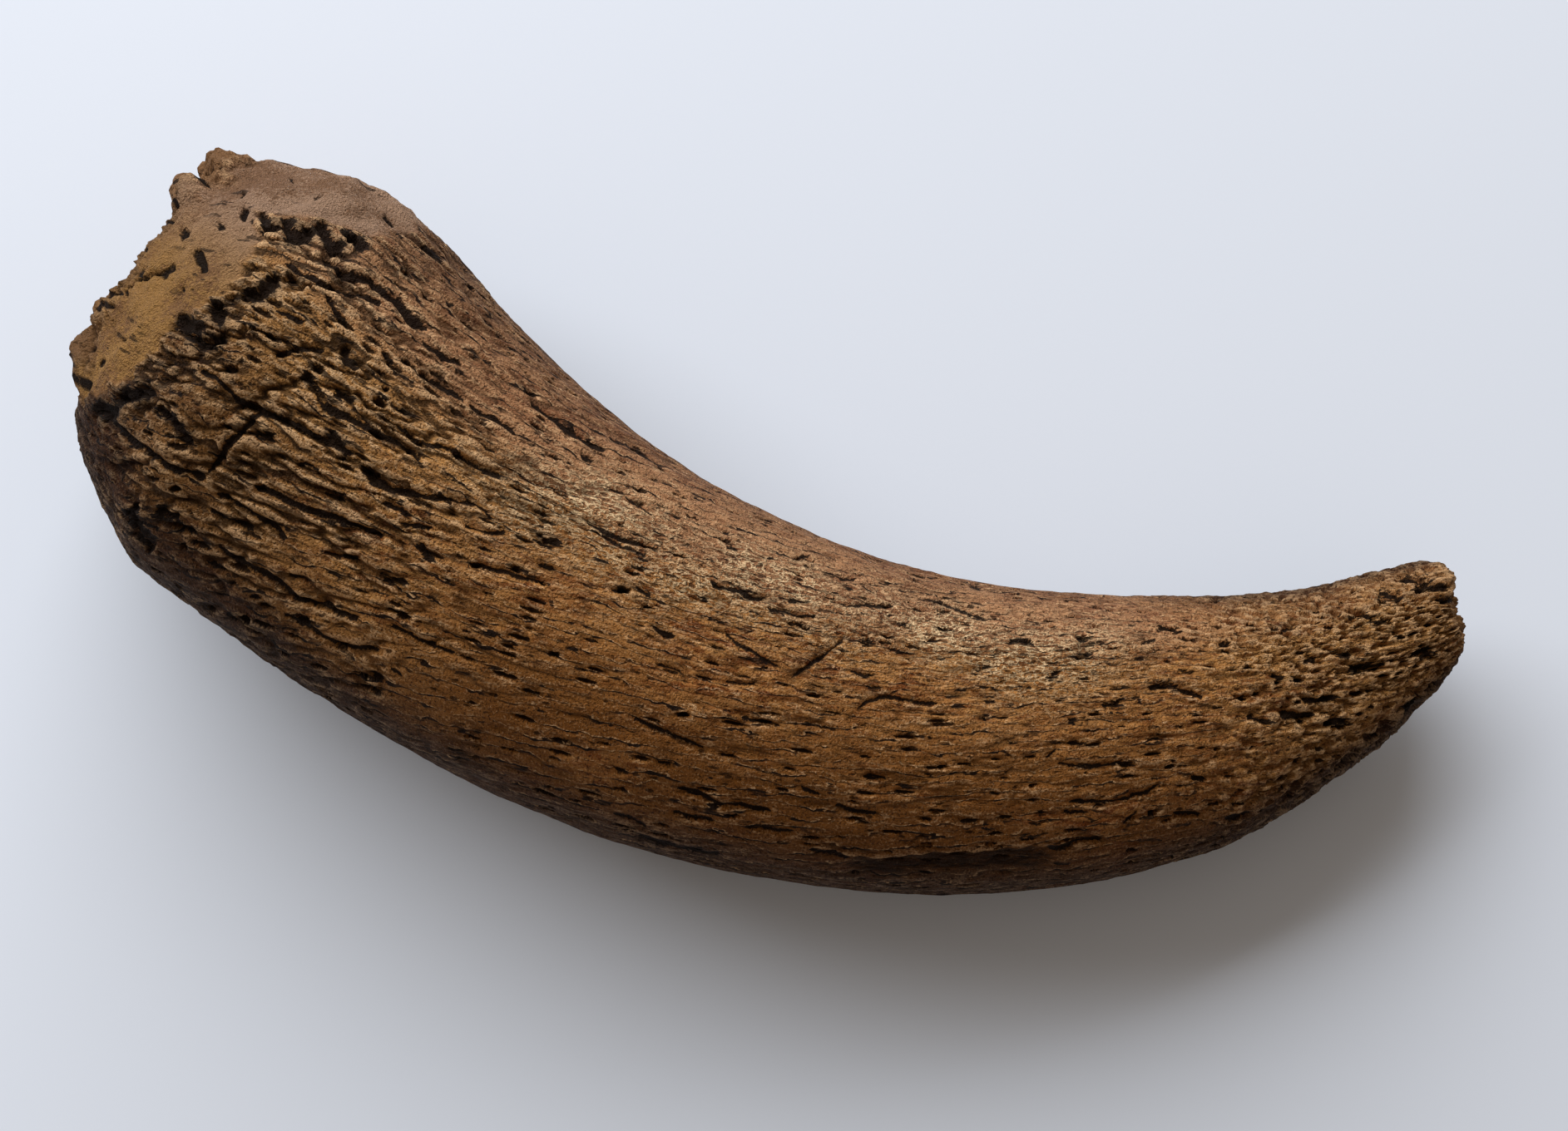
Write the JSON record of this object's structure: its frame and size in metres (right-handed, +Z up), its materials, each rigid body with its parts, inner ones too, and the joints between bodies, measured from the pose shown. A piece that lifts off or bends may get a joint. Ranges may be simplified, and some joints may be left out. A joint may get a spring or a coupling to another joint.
{
  "type": "cattle horn core",
  "caption": "Curved, tapering bony core of a cattle horn, oval in section, furrowed and pitted, broken from the skull at a smooth collar, lying on its side.",
  "frame": {"origin": "centre of the core's footprint on the surface that it lies on, bottom of its bounding box", "axes": "+X from the broken base towards the tip along the longest extent, +Y towards the hollow side of the bend, +Z up, the shortest extent, with the bend lying in plan"},
  "size_m": [0.2362, 0.1242, 0.0617],
  "materials": {
    "bone": "matt, weathered brown bone: dark in the pores and furrows, pale tan on worn ridges and on the smooth collar, warmer orange brown along the belly of the bend"
  },
  "bodies": {
    "root": {"horn_core": "bone"}
  },
  "joints": []
}
